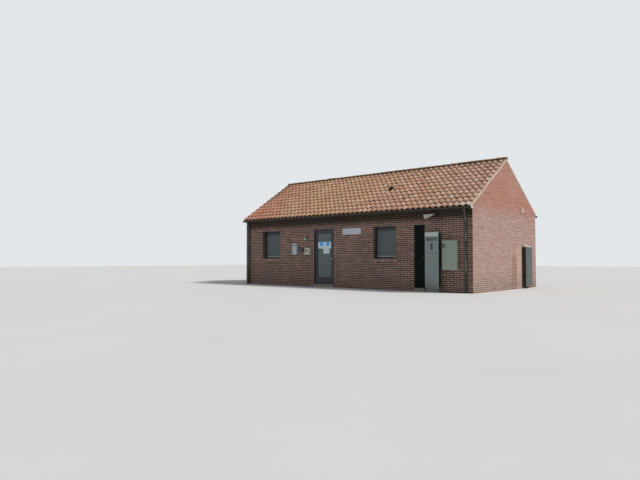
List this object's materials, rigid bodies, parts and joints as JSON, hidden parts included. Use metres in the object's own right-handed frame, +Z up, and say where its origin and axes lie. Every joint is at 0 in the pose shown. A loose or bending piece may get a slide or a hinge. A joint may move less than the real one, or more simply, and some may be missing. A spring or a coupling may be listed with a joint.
{
  "type": "railway station building",
  "caption": "Small single-storey brick station building with a pantiled gable roof, gutters, windows, glazed entrance, service door, ticket machine and notice case.",
  "frame": {"origin": "middle of the brick footprint at ground level, on the underside of the floor slab", "axes": "+X along the building towards its right-hand gable as seen from the platform, -Y towards the platform, +Z up"},
  "size_m": [10.546, 5.6658, 4.5429],
  "materials": {
    "concrete": "rough",
    "red_brick": "rough",
    "roof_boards": "sawn",
    "clay_tile": "matt",
    "mortar": "rough",
    "painted_wood": "painted",
    "zinc": "matt grey",
    "dark_frame": "satin",
    "blank_panel": "matt",
    "pane": "clear",
    "steel": "satin",
    "black_door": "matt",
    "white_board": "satin",
    "machine_grey": "satin",
    "case_green": "satin",
    "dark_plastic": "matt",
    "white_plastic": "matt",
    "beige_plastic": "matt",
    "lamp_green": "satin",
    "lamp_cover": "gloss",
    "pale_plastic": "matt",
    "cabinet_grey": "satin"
  },
  "bodies": {
    "building": {"floor_slab": "concrete", "front_wall_left": "red_brick", "front_wall_middle": "red_brick", "front_wall_right": "red_brick", "wall_over_entrance": "red_brick", "wall_over_service_door": "red_brick", "rear_wall": "red_brick", "left_gable": "red_brick", "right_gable": "red_brick", "front_roof_deck": "roof_boards", "rear_roof_deck": "roof_boards", "front_tiles": "clay_tile", "rear_tiles": "clay_tile", "ridge_tiles": "clay_tile", "ridge_bedding": "mortar", "verge_mortar": "mortar", "fascia_boards": "painted_wood", "front_gutter": "zinc", "rear_gutter": "zinc", "gutter_hooks": "zinc", "front_downpipes": "zinc", "rear_downpipes": "zinc", "pipe_clips": "zinc", "front_window_frames": "dark_frame", "rear_window_frames": "dark_frame", "front_window_panels": "blank_panel", "rear_window_panels": "blank_panel", "window_sills": "red_brick", "thresholds": "concrete", "entrance_frame": "dark_frame", "entrance_hinge_pins": "steel", "service_door_frame": "dark_frame", "sign_board": "white_board", "ticket_machine": "machine_grey", "notice_case": "case_green", "post_box": "white_plastic", "display_box": "dark_plastic", "call_box": "beige_plastic", "lamp_base": "lamp_green", "lamp_cover": "lamp_cover", "loudspeaker": "pale_plastic", "loudspeaker_bracket": "steel", "meter_cabinet": "cabinet_grey", "meter_cabinet_roof": "white_board", "gable_light": "white_plastic"},
    "entrance_door": {"entrance_leaf": "dark_frame", "entrance_pane": "pane", "entrance_hinge_knuckles": "steel", "entrance_handles": "steel"},
    "service_door": {"service_door_leaf": "black_door"},
    "notice_case_front": {"notice_case_door": "case_green", "notice_case_pane": "pane", "notice_case_pull": "dark_plastic"},
    "meter_door": {"meter_cabinet_door": "cabinet_grey"}
  },
  "joints": [
    {"name": "entrance_hinge", "type": "hinge", "parent": "building", "child": "entrance_door", "pos_m": [-1.26225, -2.5743, 0.1], "axis": [0, 0, -1], "range_deg": [0, 90]},
    {"name": "service_hinge", "type": "hinge", "parent": "building", "child": "service_door", "pos_m": [3.13226, -2.5743, 0.1], "axis": [0, 0, -1], "range_deg": [0, 90]},
    {"name": "notice_case_hinge", "type": "hinge", "parent": "building", "child": "notice_case_front", "pos_m": [4.7187, -2.718, 1.17], "axis": [0, 0, 1], "range_deg": [0, 100]},
    {"name": "meter_hinge", "type": "hinge", "parent": "building", "child": "meter_door", "pos_m": [5.301, 1.884, 0.75], "axis": [0, 0, 1], "range_deg": [0, 100]}
  ]
}
